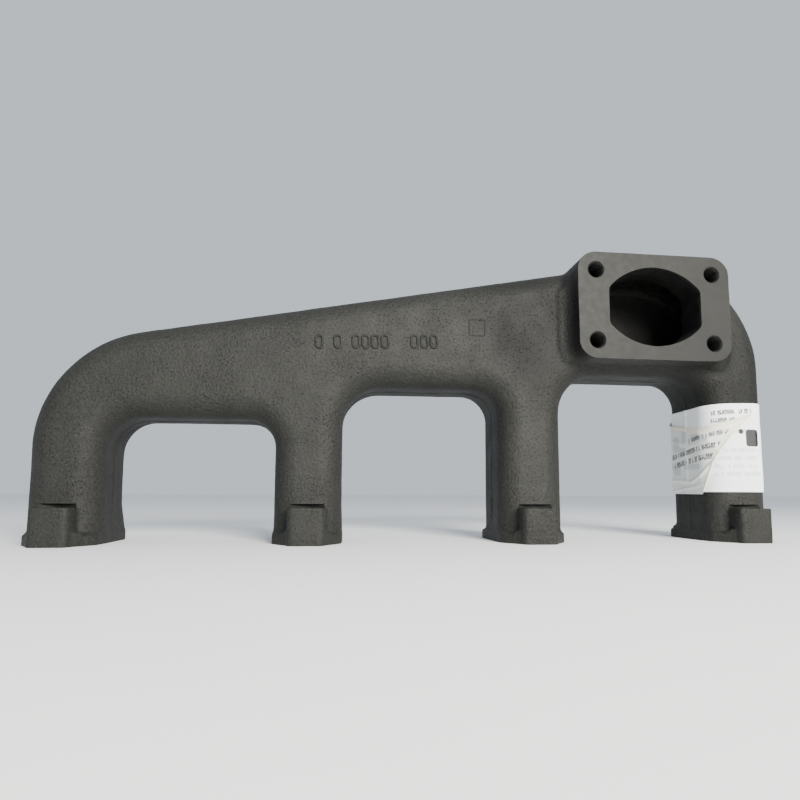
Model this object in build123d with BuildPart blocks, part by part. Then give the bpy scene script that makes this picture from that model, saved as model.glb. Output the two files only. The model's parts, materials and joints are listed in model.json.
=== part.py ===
from build123d import *
import math
import os

# Exhaust manifold for an engine with four separate cylinders, in millimetres.
# X runs along the manifold, the outlet faces -Y, and the four port faces lie on Z = 0.
# X = 0 is midway between the second and third ports; Y = 0 is the mould's parting plane.
# The real part is one iron casting. It is stored zone by zone, cut on plain planes, so that
# each zone is a simple open tube or pad and the gas passage stays open from end to end.

# ---- Ports and legs ----
port_pitch = 130.0
port_x = [(number - 1.5) * port_pitch for number in range(4)]
leg_width = 38.0
half_depth = 26.3
edge_round = 13.6

# ---- Gallery: its roof rises from the first port to the last ----
roof_height = 147.9  # of the roof line above X = 0
roof_slope = 0.182
end_bend = 67.0  # outer radius of the bend at each end
arch_crowns = [69.8, 89.9, 100.6]  # height of the underside between neighbouring legs
arch_left_corners = [19.0, 23.0, 25.0]
arch_right_corner = 16.5

# ---- Gas passage ----
wall = 5.5
passage_half_depth = 18.3
passage_round = 8.5

# ---- Outlet neck and flange ----
outlet_x = 135.5
outlet_z = 137.7
outlet_face = 40.0  # distance of the machined face in front of the parting plane
flange_width = 94.0
flange_height = 63.4
flange_corner = 11.0
neck_root = 5.0  # how far in front of the parting plane the neck's block starts
neck_blend = 7.0
mouth_half_width = 28.4
mouth_half_height = 23.6
mouth_arc = 37.6
mouth_corner = 2.5
stud_spacing_x = 72.0
stud_spacing_z = 42.0
stud_core = 4.25  # radius of an M10 tapping hole
stud_depth = 17.0

# ---- Port feet ----
foot_half_width = 20.0
foot_plate = 6.0
foot_front = (19.2, 21.0)  # X and Y of the plate's front shoulder
foot_rear = (20.0, 22.5)
foot_middle_y = 8.0  # the sides are parallel from here to the rear shoulder
foot_round = 4.0
flare_half_width = 19.8
flare_bottom = 4.0
flare_top = 22.0
flare_front_corner = 16.0  # the leg's front corners slant in towards the lug
flare_rear_corner = 6.0
lug_front = 37.3
lug_half_width = 10.3
lug_height = 20.0
lug_front_corner = 3.2
lug_rear_corner = 8.5
lug_root = 2.5  # how far the plate's slanted sides end short of the lug's tip
bolt_y = 30.0
bolt_hole = 4.5  # radius, for an M8 bolt
relief = 14.0  # radius of the hollow above each lug that clears the bolt's head
relief_y = 36.0
relief_height = 2.2

# ---- Label and tape round the fourth leg ----
paper = 0.25
film = 0.15
label_bottom = 30.5
label_top = 84.0
tape_bottom = 31.5
tape_top = 79.0
tape_edge = 9.0  # how far past the leg's centre line the strip reaches on each face

# ---- Planes that part the stored zones ----
foot_cut = 25.0
left_springs = [crown - corner for crown, corner in zip(arch_crowns, arch_left_corners)]
right_springs = [crown - arch_right_corner for crown in arch_crowns]
leg_tops = [left_springs[0], min(right_springs[0], left_springs[1]), left_springs[2] - 4, right_springs[2]]
leg_reach = 30.0  # half the width of the box that takes in one leg
gallery_zones = {
    "end_bend_1": (-250.0, -150.0),
    "gallery_tube_1": (-150.0, -90.0),
    "leg_junction_2": (-90.0, -40.0),
    "gallery_tube_2": (-40.0, 40.0),
    "leg_junction_3": (40.0, 90.0),
    "outlet_chamber": (90.0, 152.0),
    "end_bend_4": (152.0, 250.0),
}
neck_zone = (75.0, 196.0)  # X range of the outlet flange with its root blend

os.makedirs("parts", exist_ok=True)


def finish(name, piece):
    """Label one finished piece, write it to its own file and say how big it is."""
    piece.part.label = name
    export_step(piece.part, f"parts/{name}.step")
    print(f"{name:<16} {piece.part.volume / 1000:8.1f} cm3, {len(piece.part.solids())} solid")


def roof(x):
    """Height of the straight roof line at x."""
    return roof_height + roof_slope * x


def front_view(inset, bottom):
    """The manifold's front view, drawn inset from its outer skin and down to a bottom height."""
    end_x = port_x[3] + leg_width / 2 - inset
    drop = inset * math.hypot(1, roof_slope)
    left_corner = (-end_x, roof(-end_x) - drop)
    right_corner = (end_x, roof(end_x) - drop)
    opening = port_pitch - leg_width + 2 * inset
    with BuildSketch() as view:
        with BuildLine():
            back = FilletPolyline(
                (-end_x, bottom), left_corner, right_corner, (end_x, bottom), radius=end_bend - inset
            )
            Line(back @ 1, back @ 0)
        make_face()
        for gap, crown in enumerate(arch_crowns):
            middle = (port_x[gap] + port_x[gap + 1]) / 2
            top = crown + inset
            with Locations((middle, bottom)):
                Rectangle(opening, 2 * (top - bottom), mode=Mode.SUBTRACT)
            for side, radius in ((0, arch_left_corners[gap]), (-1, arch_right_corner)):
                crown_ends = view.vertices().filter_by(
                    lambda v: abs(v.Y - top) < 0.01 and abs(v.X - middle) < port_pitch / 2
                )
                fillet(crown_ends.sort_by(Axis.X)[side], radius=radius + inset)
    return view.sketch


def foot_plan():
    """Plan of one port foot's plate, which narrows to a bolt lug in front and behind."""
    tip = lug_front - lug_root
    right = [
        (lug_half_width - 1, -tip),
        (foot_front[0], -foot_front[1]),
        (foot_half_width, -foot_middle_y),
        foot_rear,
        (lug_half_width - 1, tip),
    ]
    with BuildSketch() as plan:
        with BuildLine():
            Polyline(*right, *[(-x, y) for x, y in reversed(right)], close=True)
        make_face()
        shoulders = plan.vertices().filter_by(lambda v: abs(v.Y) < tip - 1)
        fillet(shoulders, radius=foot_round)
    return plan.sketch


def lug_plan():
    """Plan of the two bolt lugs: squarish in front, rounded behind."""
    with BuildSketch() as plan:
        Rectangle(2 * lug_half_width, 2 * lug_front)
        fillet(plan.vertices().group_by(Axis.Y)[0], radius=lug_front_corner)
        fillet(plan.vertices().group_by(Axis.Y)[-1], radius=lug_rear_corner)
    return plan.sketch


def is_neck_root(edge, rim):
    """True for an edge where the side of the neck, straight behind its rim, meets the gallery."""
    points = [edge.position_at(share) for share in (0, 0.5, 1)]
    straight_back = max(p.Y for p in points) - min(p.Y for p in points) > 0.99 * edge.length
    on_side = all(rim.distance_to(Vertex(p.X, -outlet_face, p.Z)) < 0.01 for p in points)
    between = all(-outlet_face + 1 < p.Y < -neck_root - 1 for p in points)
    return on_side and between and not straight_back


# ---------------------------------------------------------------- gas passage
passage_bottom = -10.0
with BuildPart() as passage:
    with BuildSketch(Plane.XZ.offset(passage_half_depth)):
        add(front_view(wall, passage_bottom))
    extrude(amount=-2 * passage_half_depth)
    rims = passage.faces().filter_by(Axis.Y).edges()
    fillet(rims.filter_by(lambda e: e.center().Z > passage_bottom + 1), radius=passage_round)

# ---------------------------------------------------------------- whole casting
with BuildPart() as casting:
    # Legs and gallery: the front view pulled straight through, then rounded all along its edges.
    with BuildSketch(Plane.XZ.offset(half_depth)):
        add(front_view(0, 0))
    extrude(amount=-2 * half_depth)
    rims = casting.faces().filter_by(Axis.Y).edges()
    fillet(rims.filter_by(lambda e: e.center().Z > 1), radius=edge_round)

    # Outlet neck: a rounded block standing out of the gallery's front, blended at its root.
    with BuildSketch(Plane.XZ.offset(outlet_face)) as flange:
        with Locations((outlet_x, outlet_z)):
            RectangleRounded(flange_width, flange_height, flange_corner)
    extrude(amount=neck_root - outlet_face)
    rim = flange.sketch.wire()
    fillet(casting.edges().filter_by(lambda e: is_neck_root(e, rim)), radius=neck_blend)

    # Port feet: plate, lugs and the short flare up to each leg.
    with BuildSketch(*[Plane(origin=(x, 0, 0)) for x in port_x]):
        add(foot_plan())
    extrude(amount=foot_plate)
    with BuildSketch(*[Plane(origin=(x, 0, 0)) for x in port_x]):
        add(lug_plan())
    extrude(amount=lug_height)
    for x in port_x:
        with BuildSketch(Plane(origin=(x, 0, flare_bottom))) as flare:
            Rectangle(2 * flare_half_width, 2 * half_depth)
            fillet(flare.vertices().group_by(Axis.Y)[0], radius=flare_front_corner)
            fillet(flare.vertices().group_by(Axis.Y)[-1], radius=flare_rear_corner)
        with BuildSketch(Plane(origin=(x, 0, flare_top))):
            RectangleRounded(leg_width, 2 * half_depth, edge_round)
        loft()

    # A shallow relief in the leg above each lug, and the bolt holes through the lugs.
    relief_places = [(x, side * relief_y) for x in port_x for side in (-1, 1)]
    with BuildSketch(Plane.XY.offset(lug_height)):
        with Locations(*relief_places):
            Circle(relief)
    extrude(amount=relief_height, mode=Mode.SUBTRACT)
    bolt_places = [(x, side * bolt_y) for x in port_x for side in (-1, 1)]
    with BuildSketch(Plane.XY):
        with Locations(*bolt_places):
            Circle(bolt_hole)
    extrude(amount=lug_height, mode=Mode.SUBTRACT)

    # The passage, the mouth of the outlet and the four tapped holes round it.
    add(passage.part, mode=Mode.SUBTRACT)
    arc_offset = mouth_arc - mouth_half_height
    with BuildSketch(Plane.XZ.offset(outlet_face)) as mouth:
        with Locations((outlet_x, outlet_z - arc_offset)):
            Circle(mouth_arc)
        with Locations((outlet_x, outlet_z + arc_offset)):
            Circle(mouth_arc, mode=Mode.INTERSECT)
        with Locations((outlet_x, outlet_z)):
            Rectangle(2 * mouth_half_width, 2 * mouth_half_height, mode=Mode.INTERSECT)
        fillet(mouth.vertices(), radius=mouth_corner)
    extrude(amount=passage_half_depth - 1 - outlet_face, mode=Mode.SUBTRACT)
    with BuildSketch(Plane.XZ.offset(outlet_face)):
        with Locations((outlet_x, outlet_z)):
            with GridLocations(stud_spacing_x, stud_spacing_z, 2, 2):
                Circle(stud_core)
    extrude(amount=-stud_depth, mode=Mode.SUBTRACT)

print(f"casting {casting.part.volume / 1000:.1f} cm3, valid {casting.part.is_valid}")

# ---------------------------------------------------------------- zones of the casting
def store_zone(name, low, high):
    """Store the part of the casting between two corners of a box as its own node."""
    size = [b - a for a, b in zip(low, high)]
    middle = [(a + b) / 2 for a, b in zip(low, high)]
    with BuildPart() as zone:
        add(casting.part)
        with Locations(tuple(middle)):
            Box(*size, mode=Mode.INTERSECT)
    finish(name, zone)


deep = 100.0  # past the casting in front of and behind the parting plane
high_up = 250.0
for number, (x, leg_top) in enumerate(zip(port_x, leg_tops), start=1):
    store_zone(f"port_foot_{number}", (x - leg_reach, -deep, -1), (x + leg_reach, deep, foot_cut))
    store_zone(f"leg_{number}", (x - leg_reach, -deep, foot_cut), (x + leg_reach, deep, leg_top))

# Above the legs the gallery is cut across, and the outlet flange is cut off its front.
with BuildPart() as gallery:
    add(casting.part)
    for x, leg_top in zip(port_x, leg_tops):
        with Locations((x, 0, leg_top / 2)):
            Box(2 * leg_reach, 2 * deep, leg_top, mode=Mode.SUBTRACT)
with BuildPart() as gallery_tube:
    add(gallery.part)
    flange_middle = (sum(neck_zone) / 2, -half_depth - deep / 2, high_up / 2)
    with Locations(flange_middle):
        Box(neck_zone[1] - neck_zone[0], deep, high_up, mode=Mode.SUBTRACT)
with BuildPart() as outlet_flange:
    add(gallery.part)
    with Locations(flange_middle):
        Box(neck_zone[1] - neck_zone[0], deep, high_up, mode=Mode.INTERSECT)
finish("outlet_flange", outlet_flange)
for name, (left, right) in gallery_zones.items():
    with BuildPart() as tube:
        add(gallery_tube.part)
        with Locations(((left + right) / 2, 0, high_up / 2)):
            Box(right - left, 2 * deep, high_up, mode=Mode.INTERSECT)
    finish(name, tube)

# ---------------------------------------------------------------- label and tape
leg_depth = 2 * half_depth
with BuildPart() as paper_label:
    with BuildSketch(Plane(origin=(port_x[3], 0, label_bottom))):
        RectangleRounded(leg_width + 2 * paper, leg_depth + 2 * paper, edge_round + paper)
        RectangleRounded(leg_width, leg_depth, edge_round, mode=Mode.SUBTRACT)
    extrude(amount=label_top - label_bottom)
finish("paper_label", paper_label)

with BuildPart() as clear_tape:
    with BuildSketch(Plane(origin=(port_x[3], 0, tape_bottom))):
        skin = paper + film
        RectangleRounded(leg_width + 2 * skin, leg_depth + 2 * skin, edge_round + skin)
        RectangleRounded(leg_width + 2 * paper, leg_depth + 2 * paper, edge_round + paper, mode=Mode.SUBTRACT)
        with Locations((tape_edge + leg_width / 2, 0)):
            Rectangle(leg_width, 2 * leg_depth, mode=Mode.SUBTRACT)
    extrude(amount=tape_top - tape_bottom)
finish("clear_tape", clear_tape)
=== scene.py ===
# %% [markdown]
# # A cast-iron exhaust manifold
# This lesson dresses a finished CAD model of an exhaust manifold. The manifold is a single iron
# casting that carries the gas of four cylinders to one outlet, and a printed paper label and a strip
# of clear tape are wrapped round its last leg. The CAD model stores the casting in sixteen zones. Here
# they are poured back into one piece, given the print of the sand, and then machined, in the order
# that a foundry works.

# %% Load the frame
import json
import math

import bmesh
import bpy
import numpy as np
from mathutils import Euler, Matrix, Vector
from mathutils.bvhtree import BVHTree


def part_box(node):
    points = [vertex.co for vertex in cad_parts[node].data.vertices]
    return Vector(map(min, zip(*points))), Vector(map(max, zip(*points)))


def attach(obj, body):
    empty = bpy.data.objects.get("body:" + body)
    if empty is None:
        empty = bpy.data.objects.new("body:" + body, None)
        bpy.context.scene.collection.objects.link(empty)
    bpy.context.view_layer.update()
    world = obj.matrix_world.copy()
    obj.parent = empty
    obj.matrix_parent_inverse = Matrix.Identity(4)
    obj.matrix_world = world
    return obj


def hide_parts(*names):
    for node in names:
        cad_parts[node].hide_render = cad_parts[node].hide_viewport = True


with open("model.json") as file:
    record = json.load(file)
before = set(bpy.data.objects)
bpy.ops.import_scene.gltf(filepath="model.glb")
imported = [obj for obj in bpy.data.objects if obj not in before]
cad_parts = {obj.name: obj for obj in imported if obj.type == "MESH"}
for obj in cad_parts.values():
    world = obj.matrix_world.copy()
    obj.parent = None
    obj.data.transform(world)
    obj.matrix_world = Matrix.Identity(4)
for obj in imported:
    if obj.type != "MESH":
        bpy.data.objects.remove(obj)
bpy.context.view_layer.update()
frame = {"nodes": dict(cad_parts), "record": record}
MM = 0.001
wrappings = ("paper_label", "clear_tape")
zones = [name for name in frame["nodes"] if name not in wrappings]
print(len(zones), "zones of casting and", len(wrappings), "wrappings")

# %% [markdown]
# ## Camera
# The view is that of a short lens close to the part, a little above the table. The focal length goes
# with a 36 mm wide sensor, and the small shift stands for holding the camera nearly level.

# %% Camera
camera_data = bpy.data.cameras.new("camera")
camera_data.lens = 27.307
camera_data.sensor_width = 36
camera_data.shift_x = -0.0095
camera_data.shift_y = 0.0401
camera_data.clip_start = 0.01
camera = bpy.data.objects.new("camera", camera_data)
camera.location = Vector((-49.5, -367.3, 27.6)) * MM
camera.rotation_euler = [math.radians(angle) for angle in (95.863, -0.200, -6.754)]
bpy.context.scene.collection.objects.link(camera)
bpy.context.scene.camera = camera
print("camera at", tuple(round(value, 3) for value in camera.location))

# %% [markdown]
# ## Measures
# The bolt holes and tapped holes are read from the part's record, so they stay where the CAD put them.
# The other measures below belong to the foundry and the machine shop: how much spare metal is cast on
# a face that will be milled, and how far a hollow above each lug clears the head of its bolt.

# %% Holes and machining measures
mounts = {mount["name"]: mount for mount in frame["record"]["mounts"]}


def corners_of(mount_name):
    """The four half spacings of a bolt pattern, as pairs in metres."""
    dims = mounts[mount_name]["dims"]
    across = dims["spacing_x_mm"] / 2 * MM
    along = dims["spacing_y_mm"] / 2 * MM
    return [(side_a * across, side_b * along) for side_a in (-1, 1) for side_b in (-1, 1)]


port_bolts = corners_of("outer_port_bolts") + corners_of("inner_port_bolts")
bolt_radius = mounts["outer_port_bolts"]["dims"]["hole_r_mm"] * MM
outlet = Vector(mounts["outlet_studs"]["pos_m"])
studs = [(outlet.x + x, outlet.z + z) for x, z in corners_of("outlet_studs")]
stud_radius = mounts["outlet_studs"]["dims"]["hole_r_mm"] * MM
stud_depth = 17 * MM
thread_pitch = 1.5 * MM
thread_depth = 0.6 * MM
allowance = 1.4 * MM
plug_overlap = 0.3 * MM
lug_top = 20 * MM
lug_slice_y = 28 * MM
relief_radius = 14 * MM
relief_y = 36 * MM
relief_height = 2.2 * MM
leg_x = 195 * MM
print(len(port_bolts), "bolt holes and", len(studs), "tapped holes")

# %% [markdown]
# ## Helpers for node materials
# Every finish is a small network of shader nodes. These helpers keep the wiring short, and sizes are
# given in millimetres, because a maker thinks of sand grains and scratches in real sizes.

# %% Node helpers
def new_material(name):
    """A material with a plain Principled shader: returns the material, its tree and the shader."""
    material = bpy.data.materials.new(name)
    material.use_nodes = True
    tree = material.node_tree
    return material, tree, tree.nodes["Principled BSDF"]


def add_node(tree, kind, inputs=(), **settings):
    """Add a node, set its attributes, and fill or link its input sockets from a dictionary."""
    node = tree.nodes.new(kind)
    for key, value in settings.items():
        setattr(node, key, value)
    for key, value in dict(inputs).items():
        if isinstance(value, bpy.types.NodeSocket):
            tree.links.new(value, node.inputs[key])
        else:
            node.inputs[key].default_value = value
    return node


def noise(tree, place, size_mm, detail=2.0, roughness=0.5, stretch=(1, 1, 1)):
    """A noise whose lumps are about size_mm across, placed by the object's own position."""
    sized = add_node(tree, "ShaderNodeMapping", {"Vector": place, "Scale": stretch})
    settings = {"Scale": 1 / (size_mm * MM), "Detail": detail, "Roughness": roughness}
    node = add_node(tree, "ShaderNodeTexNoise", {"Vector": sized.outputs[0], **settings})
    return node.outputs["Fac"]


def remap(tree, value, low, high, to_low=0.0, to_high=1.0):
    """Stretch a value from one range to another, held inside the new range."""
    ends = {"From Min": low, "From Max": high, "To Min": to_low, "To Max": to_high}
    return add_node(tree, "ShaderNodeMapRange", {"Value": value, **ends}).outputs["Result"]


def calculate(tree, operation, first, second=0.0):
    """One step of arithmetic on two values."""
    return add_node(tree, "ShaderNodeMath", {0: first, 1: second}, operation=operation).outputs[0]


def mix_colours(tree, share, first, second, blend="MIX"):
    """Blend two colours by a share from 0 to 1."""
    colours = {0: share}
    for socket, colour in ((6, first), (7, second)):
        colours[socket] = colour if isinstance(colour, bpy.types.NodeSocket) else (*colour, 1)
    return add_node(tree, "ShaderNodeMix", colours, data_type="RGBA", blend_type=blend).outputs[2]


def darken(tree, colour, factor):
    """Multiply a colour by one value."""
    grey = add_node(tree, "ShaderNodeCombineColor", {0: factor, 1: factor, 2: factor}).outputs[0]
    return mix_colours(tree, 1.0, colour, grey, "MULTIPLY")


def soft_ball(tree, place, centre_mm, reach_mm):
    """A soft round mask: 1 at the centre and 0 from the given reach outwards."""
    centre = tuple(value * MM for value in centre_mm)
    gap = add_node(tree, "ShaderNodeVectorMath", {0: place, 1: centre}, operation="DISTANCE")
    return remap(tree, gap.outputs["Value"], reach_mm * MM, 0.35 * reach_mm * MM)


def bump(tree, height, depth_mm, under=None):
    """Turn a height of 0 to 1 into relief of the given depth, on top of another bump if there is one."""
    sockets = {"Height": height, "Strength": 1.0, "Distance": depth_mm * MM}
    if under is not None:
        sockets["Normal"] = under
    return add_node(tree, "ShaderNodeBump", sockets).outputs["Normal"]


# %% [markdown]
# ## The finishes of the iron
# Iron poured into sand takes the print of the grains: a fine pebbled skin, rougher in some patches
# than in others, with small pits. It is then blasted and dipped in a thin dark coat, which leaves a
# warm grey with a dull sheen. Painted shade darkens the colour in two soft spots, beside the outlet
# neck and at the top of the last leg below the flange. A milled face has the same coat over flat metal,
# so it looks smoother, with bright nicks where it has been knocked. The inside of the gas passage is
# given a near-black colour: painted shade for the dark deep in the passage.

# %% Three finishes for the casting
def make_cast_iron():
    """Dark grey coated iron with sand grain, patches of coarser skin, pits, and painted shade in two
    spots.
    """
    material, tree, shader = new_material("cast_iron_skin")
    place = tree.nodes.new("ShaderNodeTexCoord").outputs["Object"]
    stains = noise(tree, place, 30, detail=4, roughness=0.6)
    stains = remap(tree, stains, 0.3, 0.7)
    colour = mix_colours(tree, stains, (0.0150, 0.0150, 0.0136), (0.0186, 0.0186, 0.0170))
    specks = remap(tree, noise(tree, place, 1.2, detail=3, roughness=0.75), 0.3, 0.7, 0.55, 1.45)
    colour = darken(tree, colour, specks)
    # Painted shade: two soft spots darken the colour, beside the outlet neck and at the top of the last
    # leg below the flange.
    painted_shade_spots = [soft_ball(tree, place, centre, 48) for centre in ((66, -26, 128), (196, -20, 98))]
    painted_shade_share = calculate(tree, "MULTIPLY", calculate(tree, "ADD", *painted_shade_spots), 0.55)
    colour = darken(tree, colour, calculate(tree, "SUBTRACT", 1.0, painted_shade_share))
    tree.links.new(colour, shader.inputs["Base Color"])
    coarse = remap(tree, noise(tree, place, 26, detail=2), 0.40, 0.62, 0.45, 1.0)
    grain = noise(tree, place, 1.4, detail=3, roughness=0.65)
    grain_height = calculate(tree, "MULTIPLY", grain, coarse)
    skin = bump(tree, grain_height, 0.70)
    pits = remap(tree, noise(tree, place, 1.15, detail=0), 0.22, 0.33)
    pits = calculate(tree, "MULTIPLY", pits, coarse)
    tree.links.new(bump(tree, pits, 0.32, skin), shader.inputs["Normal"])
    rough = remap(tree, noise(tree, place, 12, detail=2), 0.3, 0.7, 0.56, 0.64)
    tree.links.new(rough, shader.inputs["Roughness"])
    shader.inputs["Specular IOR Level"].default_value = 0.19
    return material


def make_milled_iron():
    """The dark coat over a milled face: nearly smooth, with a few bright nicks."""
    material, tree, shader = new_material("milled_iron")
    place = tree.nodes.new("ShaderNodeTexCoord").outputs["Object"]
    stains = noise(tree, place, 16, detail=4, roughness=0.6)
    stains = remap(tree, stains, 0.35, 0.65)
    colour = mix_colours(tree, stains, (0.0128, 0.0128, 0.0118), (0.0162, 0.0162, 0.0150))
    nicks = remap(tree, noise(tree, place, 2.2, detail=5, roughness=0.8), 0.74, 0.79)
    colour = mix_colours(tree, nicks, colour, (0.42, 0.40, 0.36))
    tree.links.new(colour, shader.inputs["Base Color"])
    tree.links.new(bump(tree, noise(tree, place, 0.7, detail=2), 0.05), shader.inputs["Normal"])
    rough = remap(tree, noise(tree, place, 4, detail=3), 0.3, 0.7, 0.52, 0.62)
    tree.links.new(rough, shader.inputs["Roughness"])
    shader.inputs["Specular IOR Level"].default_value = 0.19
    return material


def make_passage_painted_shade():
    """The inside of the passage: a near-black colour as painted shade for the dark deep in the passage,
    with a coarse grain.
    """
    material, tree, shader = new_material("passage_painted_shade")
    place = tree.nodes.new("ShaderNodeTexCoord").outputs["Object"]
    patches = remap(tree, noise(tree, place, 9, detail=3), 0.35, 0.65)
    # Painted shade: the near-black colour stands for the shade deep inside the passage.
    colour = mix_colours(tree, patches, (0.0022, 0.0022, 0.0022), (0.0060, 0.0058, 0.0055))
    tree.links.new(colour, shader.inputs["Base Color"])
    tree.links.new(bump(tree, noise(tree, place, 1.6, detail=3), 0.4), shader.inputs["Normal"])
    tree.links.new(remap(tree, patches, 0, 1, 0.7, 0.85), shader.inputs["Roughness"])
    shader.inputs["Specular IOR Level"].default_value = 0.25
    return material


cast_iron = make_cast_iron()
milled_iron = make_milled_iron()
passage_painted_shade = make_passage_painted_shade()
print("finishes:", cast_iron.name, milled_iron.name, passage_painted_shade.name)

# %% [markdown]
# ## Helpers for meshes
# The casting is made with whole-mesh tools, so a few helpers come first: one links a mesh into the
# scene, one bakes modifiers into the mesh, and three add closed shapes to a mesh under construction.

# %% Mesh helpers
def link_mesh(name, bm):
    """Turn a bmesh into an object in the scene."""
    mesh = bpy.data.meshes.new(name)
    bm.to_mesh(mesh)
    bm.free()
    thing = bpy.data.objects.new(name, mesh)
    bpy.context.scene.collection.objects.link(thing)
    return thing


def apply_modifiers(thing):
    """Replace an object's mesh with what its modifiers make of it."""
    graph = bpy.context.evaluated_depsgraph_get()
    made = bpy.data.meshes.new_from_object(thing.evaluated_get(graph))
    thing.modifiers.clear()
    thing.data = made


def add_rod(bm, centre, axis, radius, length, sides=48):
    """A closed cylinder centred on a point, along Y or Z."""
    turn = Euler((math.pi / 2 if axis == "Y" else 0, 0, 0)).to_matrix()
    made = bmesh.ops.create_cone(
        bm, segments=sides, radius1=radius, radius2=radius, depth=length, cap_ends=True
    )
    for vertex in made["verts"]:
        vertex.co = turn @ vertex.co + Vector(centre)


def add_block(bm, low, high):
    """A closed block between two corners."""
    low, high = Vector(low), Vector(high)
    for vertex in bmesh.ops.create_cube(bm, size=1)["verts"]:
        vertex.co = (low + high) / 2 + Vector(a * b for a, b in zip(vertex.co, high - low))


def add_grid(bm, rows, close_rows=True, cap=True):
    """Skin a list of rings of points, capped at both ends to make a closed solid."""
    rings = [[bm.verts.new(point) for point in row] for row in rows]
    count = len(rings[0])
    pairs = list(zip(rings, rings[1:]))
    if close_rows and not cap:
        pairs.append((rings[-1], rings[0]))
    for first, second in pairs:
        for here in range(count):
            after = (here + 1) % count
            bm.faces.new((first[here], first[after], second[after], second[here]))
    if cap:
        bm.faces.new(rings[0][::-1])
        bm.faces.new(rings[-1])


def coordinates(mesh, kind="co"):
    """The positions or normals of a mesh's vertices as an array."""
    values = np.empty(len(mesh.vertices) * 3)
    mesh.vertices.foreach_get(kind, values)
    return values.reshape(-1, 3)


# %% [markdown]
# ## Pouring the casting
# The zones touch along plain cuts, so a voxel remesh melts them into one closed skin, as the iron ran
# together in the mould. Faces that will be milled get spare metal first: copies of the feet are set
# lower, a copy of the flange is set further out, and slices of the lugs are set higher. Every hole is
# plugged, because holes are drilled after casting.

# %% Melt the zones together
def lug_slices(mesh, side):
    """The outer part of the lugs on one side of a foot, raised by the allowance."""
    piece = bmesh.new()
    piece.from_mesh(mesh)
    bmesh.ops.translate(piece, vec=(0, 0, allowance), verts=piece.verts)
    everything = piece.verts[:] + piece.edges[:] + piece.faces[:]
    on_plane, outwards = (0, side * lug_slice_y, 0), (0, side, 0)
    cut = bmesh.ops.bisect_plane(
        piece, geom=everything, plane_co=on_plane, plane_no=outwards, clear_inner=True
    )
    rim = [part for part in cut["geom_cut"] if isinstance(part, bmesh.types.BMEdge)]
    bmesh.ops.holes_fill(piece, edges=rim)
    sliced = bpy.data.meshes.new("lug_slice")
    piece.to_mesh(sliced)
    piece.free()
    return sliced


def add_copy(bm, mesh, shift):
    """Add a mesh to the one under construction, moved by a shift."""
    start = len(bm.verts)
    bm.from_mesh(mesh)
    bm.verts.ensure_lookup_table()
    bmesh.ops.translate(bm, vec=shift, verts=bm.verts[start:])


pour = bmesh.new()
for name in zones:
    zone_mesh = frame["nodes"][name].data
    add_copy(pour, zone_mesh, (0, 0, 0))
    if name.startswith("port_foot"):
        add_copy(pour, zone_mesh, (0, 0, -allowance))
        for side in (-1, 1):
            add_copy(pour, lug_slices(zone_mesh, side), (0, 0, 0))
    if name == "outlet_flange":
        add_copy(pour, zone_mesh, (0, -allowance, 0))
for x, y in port_bolts:
    add_rod(pour, (x, y, lug_top / 2), "Z", bolt_radius + plug_overlap, lug_top + 2 * allowance)
plug_length = stud_depth + 2.4 * MM
plug_middle = outlet.y + stud_depth / 2 - 0.2 * MM
for x, z in studs:
    add_rod(pour, (x, plug_middle, z), "Y", stud_radius + plug_overlap, plug_length)
casting = link_mesh("manifold_casting", pour)
melt = casting.modifiers.new("melt", "REMESH")
melt.mode = "VOXEL"
melt.voxel_size = 0.9 * MM
melt.use_smooth_shade = True
soften = casting.modifiers.new("soften", "SMOOTH")
soften.factor = 0.5
soften.iterations = 9
apply_modifiers(casting)
print("poured:", len(casting.data.polygons), "faces")

# %% [markdown]
# ## The print of the sand
# Each point of the skin is pushed in or out by noise: long low waves from the wooden pattern and the
# rammed sand, and small bumps the size of coarse grains. Where the two halves of the mould met, along
# the middle of the casting, a thin ridge of flash was squeezed out. It must not appear inside the
# passage, which a sand core shaped, so a ray is sent out from every point: on the inside it soon meets
# the opposite wall. The same test later picks the faces that get the near-black painted shade.

# %% Roughen the skin
def lattice_noise(points, cell, seed):
    """Smooth noise from -1 to 1: random values on a grid of cells, blended between its corners."""
    corner = np.floor(points / cell).astype(np.int64)
    part = points / cell - corner
    part = part * part * (3 - 2 * part)
    total = np.zeros(len(points))
    for step in np.ndindex(2, 2, 2):
        at = corner + np.array(step)
        key = (at[:, 0] * 73856093) ^ (at[:, 1] * 19349663) ^ (at[:, 2] * 83492791) ^ (seed * 265443576)
        key = ((key ^ (key >> 13)) * 1274126177) & 0x7FFFFFFF
        value = ((key ^ (key >> 16)) & 0xFFFF) / 32767.5 - 1
        total += value * np.prod(np.where(np.array(step) == 1, part, 1 - part), axis=1)
    return total


def flash_height(y, place):
    """Height of the ridge of flash at a distance y from the parting plane."""
    waver = lattice_noise(place, 9 * MM, 11)
    return 0.6 * MM * np.exp(-((y / (0.8 * MM)) ** 2)) * (0.7 + 0.4 * waver)


points = coordinates(casting.data)
normals = coordinates(casting.data, "normal")
skin_tree = BVHTree.FromPolygons(
    [Vector(point) for point in points], [tuple(face.vertices) for face in casting.data.polygons]
)
core_depth = 18.3 * MM


def faces_a_wall(point, normal, reach=62 * MM):
    """True on the passage: on its flat front and back, and where a ray soon meets the opposite wall."""
    if abs(abs(point[1]) - core_depth) < 1.2 * MM and point[1] * normal[1] < -0.6 * abs(point[1]):
        return True
    start = Vector(point) + Vector(normal) * 0.3 * MM
    return skin_tree.ray_cast(start, Vector(normal), reach)[0] is not None


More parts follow.
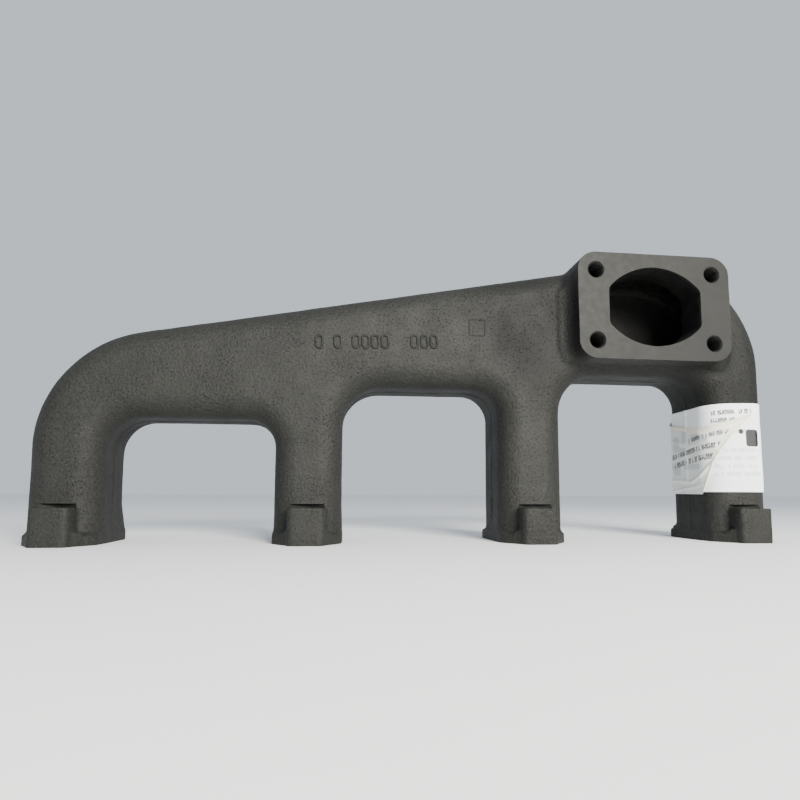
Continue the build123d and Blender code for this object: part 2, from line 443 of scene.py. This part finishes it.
near_middle = np.abs(points[:, 1]) < 2.2 * MM
sideways = np.abs(normals[:, 1]) < 0.5
above_feet = points[:, 2] > 7 * MM
ridge = np.zeros(len(points))
for index in np.flatnonzero(near_middle & sideways & above_feet):
    ridge[index] = 0.0 if faces_a_wall(points[index], normals[index]) else 1.0
waves = lattice_noise(points, 19 * MM, 1) + 0.6 * lattice_noise(points, 8 * MM, 2)
grains = lattice_noise(points, 2.4 * MM, 3)
push = waves * 0.12 * MM + grains * 0.05 * MM + ridge * flash_height(points[:, 1], points)
casting.data.vertices.foreach_set("co", (points + normals * push[:, None]).ravel())
casting.data.update()
print("flash on", int(ridge.sum()), "points, highest bump", round(float(push.max() / MM), 2), "mm")

# %% Mark the passage for its near-black painted shade
casting.data.materials.append(cast_iron)
casting.data.materials.append(milled_iron)
casting.data.materials.append(passage_painted_shade)
passage_low = Vector((-215, -38.5, 0)) * MM
passage_high = Vector((215, 19.5, 165)) * MM
inside = 0
for face in casting.data.polygons:
    middle = face.center
    boxed = all(low < value < high for low, value, high in zip(passage_low, middle, passage_high))
    if boxed and faces_a_wall(middle, face.normal):
        # Faces that the ray test finds shut in by the opposite wall get the near-black painted shade.
        face.material_index = 2
        inside += 1
print(inside, "faces line the gas passage")

# %% [markdown]
# ## Cast-on marks
# A foundry casts its numbers on the side of the part. Here plain raised rings stand in their place:
# each is a bent rod, half sunk into the wall, and they are joined to the casting by a Boolean union
# so that no loose faces are left inside the metal.

# %% Raised rings on the front
def add_ring(bm, x, y, z, width, height, corner, thickness, tilt=0.0):
    """A ring of round section that follows a rounded oblong lying in a vertical plane."""
    path = []
    for turn, side_x, side_z in ((0, 1, 1), (1, -1, 1), (2, -1, -1), (3, 1, -1)):
        for step in range(7):
            angle = (turn + step / 6) * math.pi / 2
            across = side_x * (width / 2 - corner) + corner * math.cos(angle)
            up = side_z * (height / 2 - corner) + corner * math.sin(angle)
            path.append((across, up, math.cos(angle), math.sin(angle)))
    rows = []
    for across, up, out_x, out_z in path:
        row = []
        for step in range(8):
            angle = step * math.pi / 4
            reach = thickness * math.cos(angle)
            px, pz = across + reach * out_x, up + reach * out_z
            row.append((x + px + pz * tilt, y + thickness * math.sin(angle), z + pz))
        rows.append(row)
    add_grid(bm, rows, cap=False)


front_wall = -26.3 * MM
marks = bmesh.new()
ring_width, ring_height, ring_corner, ring_thickness = 3.7 * MM, 7.2 * MM, 1.8 * MM, 0.62 * MM
ring_lean = -0.05
ring_sizes = (ring_width, ring_height, ring_corner, ring_thickness, ring_lean)
for x in (-59.9, -49.4, -39.1, -33.6, -28.2, -22.5, -5.5, 0.3, 5.9):
    z = 113.8 + 0.031 * (x + 59.9)
    add_ring(marks, x * MM, front_wall - 0.36 * MM, z * MM, *ring_sizes)
square_sizes = (9.4 * MM, 9.6 * MM, 1.2 * MM, 0.6 * MM)
add_ring(marks, 31.6 * MM, front_wall + 0.32 * MM, 125.1 * MM, *square_sizes)
bmesh.ops.recalc_face_normals(marks, faces=marks.faces)
cast_marks = link_mesh("cast_marks", marks)
cast_marks.data.materials.append(cast_iron)


def combine(thing, tool, operation):
    """Join a tool to an object or cut it away, keep the tool's material, and drop the tool."""
    cut = thing.modifiers.new("combine", "BOOLEAN")
    cut.operation = operation
    cut.solver = "MANIFOLD"
    cut.object = tool
    cut.material_mode = "TRANSFER"
    before = len(thing.data.polygons)
    apply_modifiers(thing)
    print(operation.lower(), tool.name, before, "->", len(thing.data.polygons), "faces")
    bpy.data.objects.remove(tool)


combine(casting, cast_marks, "UNION")

# %% [markdown]
# ## Machining
# The feet and the outlet flange are milled flat, the lugs are faced together with a shallow relief in
# the leg above them, and the holes are drilled and tapped. The cutters carry the milled finish, so
# only the faces that they leave behind take it. Cutters that overlap go in separate cuts.

# %% Mill the flat faces
flange_low, flange_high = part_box("outlet_flange")
mill = bmesh.new()
add_block(mill, (-0.3, -0.1, -0.02), (0.3, 0.1, 0))
flange_cut_low = (flange_low.x, outlet.y - 20 * MM, flange_low.z - 10 * MM)
flange_cut_high = (flange_high.x, outlet.y, flange_high.z + 10 * MM)
add_block(mill, flange_cut_low, flange_cut_high)
for x, y in port_bolts:
    centre = (x, math.copysign(relief_y, y), lug_top + relief_height / 2)
    add_rod(mill, centre, "Z", relief_radius, relief_height, 72)
mill_cutter = link_mesh("mill_cutter", mill)
mill_cutter.data.materials.append(milled_iron)
combine(casting, mill_cutter, "DIFFERENCE")


# %% Drill the bolt holes and tap the stud holes
def add_tap(bm, x, z):
    """A cutter with a screw thread, which enters the flange along Y."""
    rows = []
    steps = int((stud_depth + 1 * MM) / (thread_pitch / 6))
    for step in range(steps + 1):
        along = -1 * MM + step * thread_pitch / 6
        entry = max(0.0, 0.9 * MM - max(along, 0.0))
        row = []
        for side in range(40):
            angle = side / 40 * math.tau
            turn = (along / thread_pitch + side / 40) % 1
            groove = thread_depth * (1 - abs(2 * turn - 1)) if along > 0 else 0.0
            radius = stud_radius + max(groove, entry)
            row.append((x + radius * math.cos(angle), outlet.y + along, z + radius * math.sin(angle)))
        rows.append(row)
    add_grid(bm, rows)


drill = bmesh.new()
for x, y in port_bolts:
    add_rod(drill, (x, y, lug_top / 2), "Z", bolt_radius, lug_top + 2 * MM)
for x, z in studs:
    add_tap(drill, x, z)
bmesh.ops.recalc_face_normals(drill, faces=drill.faces)
drills = link_mesh("drills", drill)
drills.data.materials.append(milled_iron)
combine(casting, drills, "DIFFERENCE")

# %% Thin out the mesh
triangles = sum(len(face.vertices) - 2 for face in casting.data.polygons)
most_triangles = 190000
if triangles > most_triangles:
    thin = casting.modifiers.new("thin", "DECIMATE")
    thin.ratio = most_triangles / triangles
    apply_modifiers(casting)
print("casting:", triangles, "triangles, thinned to", len(casting.data.polygons))
casting.data.set_sharp_from_angle(angle=math.radians(38))
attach(casting, "root")
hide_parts(*zones)

# %% [markdown]
# ## Wrapping paper round a leg
# A label is a flat sheet, so it is laid out flat first, with a distance s round the leg and a height z,
# and then bent round the leg's rounded section. The distance s is 0 in the middle of the front and
# grows to the right. The flat position is kept as the UV map, in millimetres, and the print is drawn
# with it. Where the sheet lies on the ridge of flash it is lifted a little, as real paper would be.

# %% Bend a flat sheet round the leg
half_width = 19 * MM
half_depth = 26.3 * MM
leg_corner = 13.6 * MM
paper_gap = 0.5 * MM
paper_thickness = 0.22 * MM
bend_radius = leg_corner + paper_gap
flat_front = half_width - leg_corner
flat_side = half_depth - leg_corner
girth = 4 * (flat_front + flat_side) + math.tau * bend_radius


def leg_section(s):
    """The place and the outward direction at a distance s round the leg."""
    side = 1 if s >= 0 else -1
    s = abs(s)
    quarter = math.pi / 2 * bend_radius
    if s < flat_front:
        place, out = (s, -half_depth - paper_gap), (0, -1)
    elif s < flat_front + quarter:
        angle = (s - flat_front) / bend_radius
        out = (math.sin(angle), -math.cos(angle))
        place = (flat_front + bend_radius * out[0], -flat_side + bend_radius * out[1])
    elif s < flat_front + quarter + 2 * flat_side:
        place, out = (half_width + paper_gap, s - flat_front - quarter - flat_side), (1, 0)
    elif s < flat_front + 2 * quarter + 2 * flat_side:
        angle = (s - flat_front - quarter - 2 * flat_side) / bend_radius
        out = (math.cos(angle), math.sin(angle))
        place = (flat_front + bend_radius * out[0], flat_side + bend_radius * out[1])
    else:
        place, out = (girth / 2 - s, half_depth + paper_gap), (0, 1)
    return Vector((leg_x + side * place[0], place[1], 0)), Vector((side * out[0], out[1], 0))


def crease(s, z, line, width, height):
    """Height of a soft crease that follows a line of (s, z) points."""
    nearest = 1e9
    for (s0, z0), (s1, z1) in zip(line, line[1:]):
        run = (s1 - s0) ** 2 + (z1 - z0) ** 2
        share = min(1.0, max(0.0, ((s - s0) * (s1 - s0) + (z - z0) * (z1 - z0)) / run))
        nearest = min(nearest, math.hypot(s - s0 - share * (s1 - s0), z - z0 - share * (z1 - z0)))
    return height * math.exp(-((nearest / width) ** 2))


def add_sheet(bm, columns, ends, lift, material_index, closed=False):
    """Bend a sheet round the leg: each column of s runs between the two heights that ends(s) gives."""
    flat_map = bm.loops.layers.uv.get("flat") or bm.loops.layers.uv.new("flat")
    rise_steps = 100
    grid = []
    for s in columns:
        low, high = ends(s)
        place, out = leg_section(s * MM)
        over_flash = math.exp(-((place.y / (1.4 * MM)) ** 2)) * 0.5
        column = []
        for step in range(rise_steps + 1):
            z = low + (high - low) * step / rise_steps
            rise = (lift(s, z) + over_flash) * MM
            vertex = bm.verts.new(place + out * rise + Vector((0, 0, z * MM)))
            column.append((vertex, (s, z)))
        grid.append(column)
    pairs = list(zip(grid, grid[1:]))
    if closed:
        wrapped = [(vertex, (columns[0] + girth / MM, flat[1])) for vertex, flat in grid[0]]
        pairs.append((grid[-1], wrapped))
    for left, right in pairs:
        for step in range(rise_steps):
            corners = (left[step], right[step], right[step + 1], left[step + 1])
            face = bm.faces.new([vertex for vertex, flat in corners])
            face.material_index = material_index
            face.smooth = True
            for loop, (vertex, flat) in zip(face.loops, corners):
                loop[flat_map].uv = flat


print("the label's way round the leg is", round(girth / MM, 1), "mm")

# %% [markdown]
# ## Print without words
# The label's print is drawn by nodes from the flat map. A line of print is a row of small marks, each
# with one or two upright strokes and a bar at a random height, so that from a normal distance it looks
# like small print and from close by it says nothing. A share of the marks is left out to make the
# spaces between words. Print that shows through from a sheet beneath is paler.

# %% Printed paper
def join_masks(tree, masks):
    """The larger of several masks."""
    total = masks[0]
    for mask in masks[1:]:
        total = calculate(tree, "MAXIMUM", total, mask)
    return total


def close_to(tree, value, target, reach):
    """A mask of 1 where a value is within reach of a target."""
    gap = calculate(tree, "ABSOLUTE", calculate(tree, "SUBTRACT", value, target))
    return calculate(tree, "LESS_THAN", gap, reach)


def print_line(tree, s, z, start, end, height_at_start, tall, tilt=0.0, pitch=1.25, seed=0.0):
    """A mask of 0 or 1 for one line of stand-in print, all in millimetres."""
    from_start = calculate(tree, "SUBTRACT", s, start)
    base = calculate(tree, "MULTIPLY", from_start, tilt)
    height = calculate(tree, "SUBTRACT", z, height_at_start)
    height = calculate(tree, "SUBTRACT", height, base)
    cell = calculate(tree, "DIVIDE", s, pitch)
    number = calculate(tree, "ADD", calculate(tree, "FLOOR", cell), seed)
    draw = add_node(tree, "ShaderNodeTexWhiteNoise", {"W": number}, noise_dimensions="1D")
    chance = draw.outputs["Value"]
    in_cell = calculate(tree, "FRACT", cell)
    share_up = calculate(tree, "DIVIDE", height, tall)
    left_stroke = calculate(tree, "LESS_THAN", in_cell, 0.34)
    right_stroke = close_to(tree, in_cell, 0.68, 0.15)
    two_strokes = calculate(tree, "GREATER_THAN", chance, 0.45)
    right_stroke = calculate(tree, "MULTIPLY", right_stroke, two_strokes)
    bar = close_to(tree, share_up, chance, 0.15)
    bar = calculate(tree, "MULTIPLY", bar, calculate(tree, "LESS_THAN", in_cell, 0.83))
    mask = join_masks(tree, [left_stroke, right_stroke, bar])
    limits = (
        calculate(tree, "GREATER_THAN", height, 0.0),
        calculate(tree, "LESS_THAN", height, tall),
        calculate(tree, "GREATER_THAN", chance, 0.16),
        calculate(tree, "GREATER_THAN", s, start),
        calculate(tree, "LESS_THAN", s, end),
    )
    for part in limits:
        mask = calculate(tree, "MULTIPLY", mask, part)
    return mask


def block(tree, s, z, centre_s, centre_z, half_s, half_z, corner):
    """A mask for a solid oblong with round corners."""
    reach = []
    for value, centre, half in ((s, centre_s, half_s), (z, centre_z, half_z)):
        offset = calculate(tree, "ABSOLUTE", calculate(tree, "SUBTRACT", value, centre))
        reach.append(calculate(tree, "MAXIMUM", calculate(tree, "SUBTRACT", offset, half - corner), 0.0))
    squares = [calculate(tree, "MULTIPLY", part, part) for part in reach]
    distance = calculate(tree, "SQRT", calculate(tree, "ADD", *squares))
    return calculate(tree, "LESS_THAN", distance, corner)


def make_paper(name, colour, ink_lines=(), pale_lines=(), blocks=(), pale_blocks=()):
    """Coated paper with black print and, paler, the print of a sheet beneath it."""
    material, tree, shader = new_material(name)
    flat = add_node(tree, "ShaderNodeUVMap", uv_map="flat").outputs["UV"]
    split = add_node(tree, "ShaderNodeSeparateXYZ", {0: flat})
    s, z = split.outputs[0], split.outputs[1]
    place = tree.nodes.new("ShaderNodeTexCoord").outputs["Object"]
    tone = remap(tree, noise(tree, place, 14, detail=3), 0.35, 0.65)
    darker = tuple(value * 0.93 for value in colour)
    paint = mix_colours(tree, tone, colour, darker)
    dust = remap(tree, noise(tree, place, 0.9, detail=1), 0.73, 0.78)
    paint = mix_colours(tree, dust, paint, (0.25, 0.25, 0.24))
    pale = [print_line(tree, s, z, *line) for line in pale_lines]
    pale += [block(tree, s, z, *shape) for shape in pale_blocks]
    if pale:
        share = calculate(tree, "MULTIPLY", join_masks(tree, pale), 0.75)
        paint = mix_colours(tree, share, paint, (0.46, 0.52, 0.56))
    ink = [print_line(tree, s, z, *line) for line in ink_lines]
    ink += [block(tree, s, z, *shape) for shape in blocks]
    if ink:
        worn = remap(tree, noise(tree, place, 1.1, detail=2), 0.22, 0.32, 0.8, 1.0)
        share = calculate(tree, "MULTIPLY", join_masks(tree, ink), worn)
        paint = mix_colours(tree, share, paint, (0.010, 0.010, 0.012))
    tree.links.new(paint, shader.inputs["Base Color"])
    fibres = noise(tree, place, 0.5, detail=3)
    cockle = bump(tree, noise(tree, place, 7, detail=2), 0.25)
    tree.links.new(bump(tree, fibres, 0.03, cockle), shader.inputs["Normal"])
    tree.links.new(remap(tree, tone, 0, 1, 0.55, 0.65), shader.inputs["Roughness"])
    shader.inputs["Specular IOR Level"].default_value = 0.12
    return material


white_paper = make_paper(
    "label_paper",
    (0.90, 0.94, 0.94),
    ink_lines=[(-18.0, 7.0, 76.2, 2.9, 0.06), (-18.0, -4.0, 71.6, 2.8, 0.06, 1.25, 40.0)],
    pale_lines=[
        (-17.0, 12.5, 38.9, 2.6, 0.02, 1.3, 80.0),
        (-17.0, 9.0, 43.7, 2.6, 0.02, 1.3, 120.0),
        (-17.0, 9.0, 48.8, 2.4, 0.02, 1.3, 160.0),
        (-12.0, 9.0, 53.6, 2.4, 0.02, 1.3, 200.0),
        (-12.0, 9.0, 65.0, 2.2, 0.04, 1.3, 240.0),
    ],
    blocks=[(7.0, 62.4, 4.4, 5.2, 1.8), (-0.4, 66.4, 1.6, 1.6, 1.6)],
)
flap_paper = make_paper(
    "label_flap_paper",
    (0.76, 0.78, 0.76),
    ink_lines=[
        (-37.0, -8.0, 60.6, 2.7, 0.155, 1.05, 300.0),
        (-58.0, -8.5, 50.6, 3.3, 0.145, 1.2, 340.0),
        (-58.0, -8.8, 44.6, 3.6, 0.135, 1.35, 380.0),
    ],
    pale_blocks=[
        (-42.0, 66.0, 3.2, 4.6, 1.5),
        (-51.0, 61.0, 3.6, 5.0, 1.5),
        (-30.5, 64.0, 4.0, 2.2, 1.5),
        (-44.0, 55.5, 4.2, 2.6, 1.2),
        (-34.0, 45.6, 8.0, 1.7, 1.2),
        (-51.0, 44.4, 3.6, 3.8, 1.5),
    ],
)
edge_paper = make_paper("label_edge_paper", (0.80, 0.74, 0.62))
print("label finishes:", white_paper.name, flap_paper.name, edge_paper.name)

# %% [markdown]
# ## The label
# The band of white paper goes all the way round. Over it lies a second thickness: the label's loose
# end, which was pulled across at a slant, so that its top edge sags in a V and its free edge runs
# down the front at an angle to a point below the band. Its edges stand slightly away from the leg,
# and there the cream back of the paper shows through.

# %% Make the paper label
def evenly(low, high, step):
    """Evenly spaced values from low to high."""
    count = max(1, round((high - low) / step))
    return [low + (high - low) * index / count for index in range(count + 1)]


def along(line, at):
    """Read a line of (position, value) points at a position."""
    positions, values = zip(*line)
    return float(np.interp(at, positions, values))


flap_left, flap_right = -70, 6.4
flap_tip = (-24.3, 28.4)
band_bottom, band_top = 29.7, 83.0
flap_top = [(-70, 79.0), (-56, 73.8), (-40, 70.6), (-25, 68.2), (-12, 71.6), (-1, 74.9), (6.5, 77.5)]
flap_bottom = [(-70, 29.2), (-56, 28.6), flap_tip, (-16.6, 49.6), (-8, 63.0), (6.5, 76.9)]
pulled_folds = [
    ([(-70, 66.0), (-52, 63.0), (-38, 58.8), (-22, 60.5), (-8, 69.0)], 1.0, 0.6),
    ([(-70, 36.0), (-51, 37.3), (-35, 35.8), (-26, 39.5), (-17.5, 47.5)], 0.8, 1.2),
    ([(-70, 28.8), (-52, 30.8), (-38, 32.4), (-24, 33.6)], 0.7, 0.8),
    ([(-27, 67.0), (-20, 62.5), (-15, 55.0)], 1.4, 0.5),
]


def band_ends(s):
    """The band's lower and upper edge; the upper one waves a little."""
    return band_bottom, band_top + 0.9 * math.sin((s + 19) / 26)


def flap_ends(s):
    """The flap's lower and upper edge."""
    return along(flap_bottom, s), along(flap_top, s)


def band_lift(s, z):
    """The band lies close to the leg, a little cockled."""
    return 0.06 * math.sin(s / 6 + z / 9) + 0.05 * math.sin(z / 4 - s / 11)


def flap_lift(s, z):
    """The flap stands over the band, with folds and with raised edges."""
    folds = sum(crease(s, z, *fold) for fold in pulled_folds)
    from_top = along(flap_top, s) - z
    from_edge = z - along(flap_bottom, s) if s > flap_tip[0] else z - flap_tip[1]
    rim = 0.9 * math.exp(-from_top / 0.9) + 0.8 * math.exp(-from_edge / 1.2)
    return 0.42 + folds + rim + 0.05 * math.sin(s / 3 + z / 5)


label = bmesh.new()
turn = girth / MM
band_columns = evenly(-turn / 2, turn / 2, 0.9)[:-1]
add_sheet(label, band_columns, band_ends, band_lift, 0, closed=True)
flap_columns = evenly(flap_left, flap_right, 0.55)
add_sheet(label, flap_columns, flap_ends, flap_lift, 1)
flat_map = label.loops.layers.uv["flat"]
for face in label.faces:
    if face.material_index == 1:
        s, z = face.loops[0][flat_map].uv
        low, high = flap_ends(s)
        slanted = s > flap_tip[0] and z - low < 4.6
        if slanted or high - z < 2.3:
            face.material_index = 2
paper_label = link_mesh("paper_label_wrap", label)
paper_label.data.materials.append(white_paper)
paper_label.data.materials.append(flap_paper)
paper_label.data.materials.append(edge_paper)
thicken = paper_label.modifiers.new("thickness", "SOLIDIFY")
thicken.thickness = paper_thickness
thicken.offset = 0
apply_modifiers(paper_label)
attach(paper_label, "root")
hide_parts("paper_label")
print("paper label:", len(paper_label.data.polygons), "faces")

# %% [markdown]
# ## The clear tape
# A strip of packing tape holds the loose end down. It is a second bent sheet, thinner and further
# out, which follows the folds beneath it and adds fine ones of its own. Its finish is clear plastic:
# almost no colour, a low roughness and a constant transparency, so that mostly its shine is seen.

# %% Make the clear tape
tape_finish, tree, shader = new_material("packing_tape")
place = tree.nodes.new("ShaderNodeTexCoord").outputs["Object"]
haze = remap(tree, noise(tree, place, 10, detail=3), 0.35, 0.65)
film_colour = mix_colours(tree, haze, (0.66, 0.67, 0.64), (0.74, 0.74, 0.72))
tree.links.new(film_colour, shader.inputs["Base Color"])
streaks = noise(tree, place, 2.2, detail=3, stretch=(1, 1, 0.35))
tree.links.new(bump(tree, streaks, 0.10), shader.inputs["Normal"])
tree.links.new(remap(tree, haze, 0, 1, 0.12, 0.24), shader.inputs["Roughness"])
shader.inputs["Specular IOR Level"].default_value = 0.3
shader.inputs["Alpha"].default_value = 0.03
tape_folds = pulled_folds + [
    ([(-60, 47.0), (-45, 49.5), (-30, 47.0)], 0.5, 0.2),
    ([(-58, 57.0), (-47, 54.0), (-36, 53.2)], 0.5, 0.2),
    ([(-26, 75.0), (-18, 71.8), (-9, 73.5)], 0.5, 0.25),
]


def tape_lift(s, z):
    """The tape rides over the flap and steps down to the band at the flap's edges."""
    folds = sum(crease(s, z, *fold) for fold in tape_folds)
    low = along(flap_bottom, s) if s < flap_right else band_top + 7
    over_flap = min(1.0, max(0.0, min(z - low, along(flap_top, s) - z) / 1.5 + 0.5))
    return 0.55 + over_flap * 0.75 + folds


tape = bmesh.new()
tape_columns = evenly(-74, 9, 0.6)
add_sheet(tape, tape_columns, lambda s: (31.5, 79.0 + 0.012 * s), tape_lift, 0)
clear_tape = link_mesh("clear_tape_strip", tape)
clear_tape.data.materials.append(tape_finish)
thicken = clear_tape.modifiers.new("thickness", "SOLIDIFY")
thicken.thickness = 0.06 * MM
thicken.offset = 1
apply_modifiers(clear_tape)
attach(clear_tape, "root")
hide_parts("clear_tape")
print("clear tape:", len(clear_tape.data.polygons), "faces")

# %% [markdown]
# ## Table and light
# The manifold stands on a plain pale table. Most of the light comes from one soft lamp in front, a
# little to the right and above the lens, which leaves the sides of the legs dark and brings out the
# relief of the skin. A pale surround adds a weak cool light from everywhere else.

# %% Table
table_finish, tree, shader = new_material("pale_table")
place = tree.nodes.new("ShaderNodeTexCoord").outputs["Object"]
mottle = remap(tree, noise(tree, place, 60, detail=2), 0.3, 0.7)
table_colour = mix_colours(tree, mottle, (0.88, 0.88, 0.89), (0.9, 0.9, 0.91))
tree.links.new(table_colour, shader.inputs["Base Color"])
shader.inputs["Roughness"].default_value = 0.9
slab = bmesh.new()
add_block(slab, (-20, -20, -0.02), (20, 20, 0))
table = link_mesh("table", slab)
table.data.materials.append(table_finish)


# %% Lamps and surround
def soft_lamp(name, place, aim, size, power, colour):
    """A square lamp at a place, turned towards an aim."""
    data = bpy.data.lights.new(name, "AREA")
    data.size = size
    data.energy = power
    data.color = colour
    lamp = bpy.data.objects.new(name, data)
    lamp.location = place
    lamp.rotation_euler = (Vector(aim) - Vector(place)).to_track_quat("-Z", "Y").to_euler()
    bpy.context.scene.collection.objects.link(lamp)


middle_of_part = (0.03, 0, 0.09)
soft_lamp("front_lamp", (0.30, -0.97, 0.42), middle_of_part, 0.45, 35, (1.0, 0.98, 0.90))
surround = bpy.data.worlds.new("surround")
surround.use_nodes = True
background = surround.node_tree.nodes["Background"]
background.inputs["Color"].default_value = (0.84, 0.92, 1.0, 1)
background.inputs["Strength"].default_value = 0.80
bpy.context.scene.world = surround
